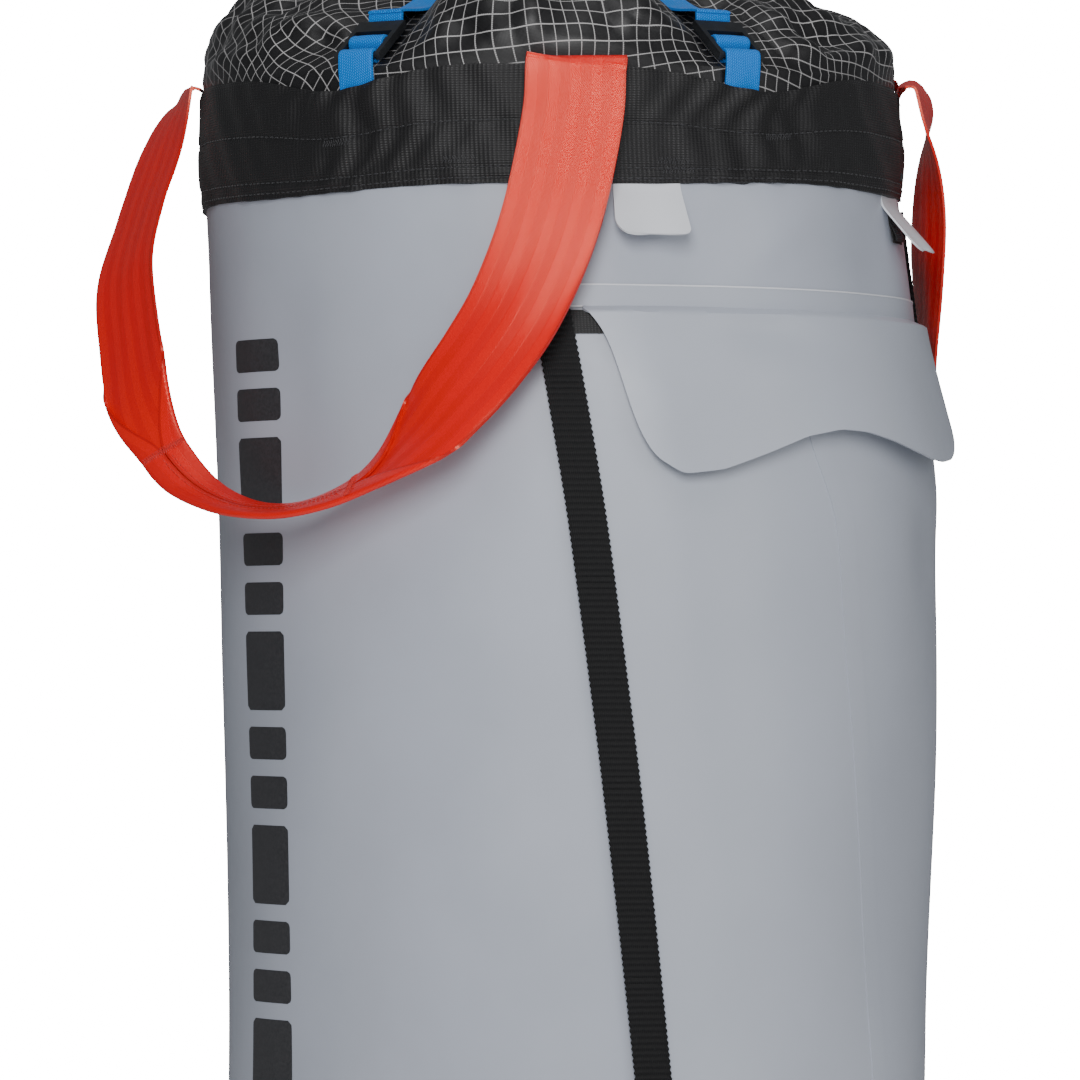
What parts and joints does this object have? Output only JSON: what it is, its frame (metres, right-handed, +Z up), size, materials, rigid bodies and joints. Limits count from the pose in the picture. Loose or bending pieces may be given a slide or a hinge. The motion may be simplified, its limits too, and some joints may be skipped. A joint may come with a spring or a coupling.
{
  "type": "haul bag",
  "caption": "Tall round haul bag of coated fabric with a gathered ripstop skirt, crossed top straps, two long webbing haul loops and a harness sleeve under a flap.",
  "frame": {"origin": "centre of the round base, on the surface it stands on", "axes": "+Z up along the bag; the harness sleeve faces -Y; +X is to the right of a viewer who faces the sleeve"},
  "size_m": [0.4314, 0.3785, 0.7525],
  "materials": {
    "tpu_grey": "semi-gloss coated cloth",
    "tpu_light": "semi-gloss coated cloth",
    "tpu_base": "satin coated cloth",
    "webbing_black": "ribbed webbing",
    "ripstop": "charcoal ripstop with a pale grid",
    "haul_webbing": "seat-belt webbing with a satin stripe",
    "blue_webbing": "woven webbing",
    "buckle_plastic": "moulded",
    "eyelet_plastic": "moulded",
    "harness_padding": "matte"
  },
  "bodies": {
    "root": {"back_pad": "harness_padding", "back_strap": "blue_webbing", "back_strap_stub": "blue_webbing", "back_strap_tails": "blue_webbing", "base_panel": "tpu_base", "base_seam_tape": "tpu_base", "body_seam_tape": "tpu_grey", "body_shell": "tpu_grey", "collar_lining": "webbing_black", "collar_webbing": "webbing_black", "drawcord_eyelets": "eyelet_plastic", "flap_weld_strip": "tpu_light", "haul_end_back_left": "haul_webbing", "haul_end_back_right": "haul_webbing", "haul_end_front_left": "haul_webbing", "haul_end_front_right": "haul_webbing", "load_lifter_loop_left": "webbing_black", "load_lifter_loop_right": "webbing_black", "rail_webbing_left": "webbing_black", "rail_webbing_right": "webbing_black", "shoulder_strap_left": "harness_padding", "shoulder_strap_right": "harness_padding", "side_strap": "blue_webbing", "side_strap_stub": "blue_webbing", "side_strap_tails": "blue_webbing", "skirt": "ripstop", "skirt_band": "ripstop", "skirt_hem": "ripstop", "sleeve_mouth_binding": "webbing_black", "sleeve_panel": "tpu_grey", "sleeve_seam_strip": "tpu_light", "waistbelt": "harness_padding", "waistbelt_buckle_plug": "buckle_plastic", "waistbelt_buckle_socket": "buckle_plastic"},
    "flap_panel": {"flap": "tpu_light"},
    "haul_loop_left": {"haul_loop_left": "haul_webbing"},
    "haul_loop_right": {"haul_loop_right": "haul_webbing"},
    "guard_left": {"strap_guard_left": "tpu_light"},
    "guard_right": {"strap_guard_right": "tpu_light"},
    "lock_side": {"side_ladder_lock": "buckle_plastic", "side_strap_weave": "blue_webbing"},
    "lock_back": {"back_ladder_lock": "buckle_plastic", "back_strap_weave": "blue_webbing"}
  },
  "joints": [
    {"name": "flap_lift", "type": "hinge", "parent": "root", "child": "flap_panel", "pos_m": [0, -0.186, 0.5588], "axis": [-1, 0, 0], "range_deg": [0, 110]},
    {"name": "haul_loop_left_lift", "type": "hinge", "parent": "root", "child": "haul_loop_left", "pos_m": [-0.1313, -0.13788, 0.682], "axis": [-0.0189, 0.9998, 0], "range_deg": [0, 150]},
    {"name": "haul_loop_right_lift", "type": "hinge", "parent": "root", "child": "haul_loop_right", "pos_m": [0.1313, -0.13788, 0.682], "axis": [-0.0189, -0.9998, 0], "range_deg": [0, 150]},
    {"name": "strap_guard_left_flip", "type": "hinge", "parent": "root", "child": "guard_left", "pos_m": [-0.09994, -0.15687, 0.618], "axis": [-0.8434, 0.5373, 0], "range_deg": [-30, 100]},
    {"name": "strap_guard_right_flip", "type": "hinge", "parent": "root", "child": "guard_right", "pos_m": [0.08299, -0.16646, 0.618], "axis": [-0.8949, -0.4462, 0], "range_deg": [-30, 100]},
    {"name": "side_lock_tilt", "type": "hinge", "parent": "root", "child": "lock_side", "pos_m": [-0.17699, -0.0328, 0.687], "axis": [0.1822, -0.9833, 0], "range_deg": [0, 30]},
    {"name": "back_lock_tilt", "type": "hinge", "parent": "root", "child": "lock_back", "pos_m": [-0.0481, -0.17345, 0.687], "axis": [0.9636, -0.2672, 0], "range_deg": [0, 30]}
  ]
}
